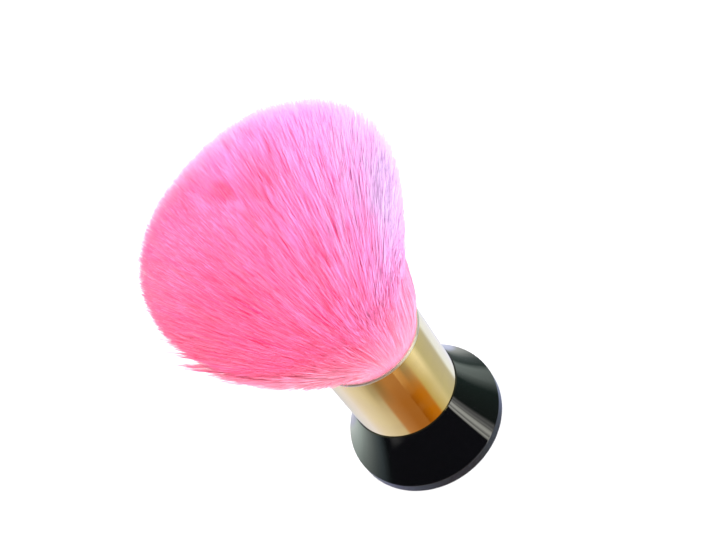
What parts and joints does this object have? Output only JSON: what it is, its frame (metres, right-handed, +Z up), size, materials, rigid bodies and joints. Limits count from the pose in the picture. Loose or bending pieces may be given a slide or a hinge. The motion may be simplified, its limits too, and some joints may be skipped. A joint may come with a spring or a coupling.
{
  "type": "nail dust brush",
  "caption": "Large domed dust brush with a wide soft pink tuft, a plain gold ferrule and a short flared black handle that stands on its flat base.",
  "frame": {"origin": "centre of the underside, on the surface that the brush stands on", "axes": "+Z up the brush's own axis, from the base to the crown of the tuft; X and Y are alike"},
  "size_m": [0.0704, 0.0704, 0.1215],
  "materials": {
    "handle_black": "high-gloss black moulding",
    "base_black": "satin black moulding",
    "ferrule_gold": "polished, gold anodised",
    "resin": "cured clear amber resin",
    "thread": "twisted natural thread",
    "fibre": "fine soft synthetic fibre, pink turning to lilac"
  },
  "bodies": {
    "root": {"handle_shell": "handle_black", "base_plate": "base_black", "ferrule": "ferrule_gold", "ferrule_bond": "resin", "root_plug": "resin", "root_binding": "thread", "tuft_core": "fibre", "tuft_mantle": "fibre"}
  },
  "joints": []
}
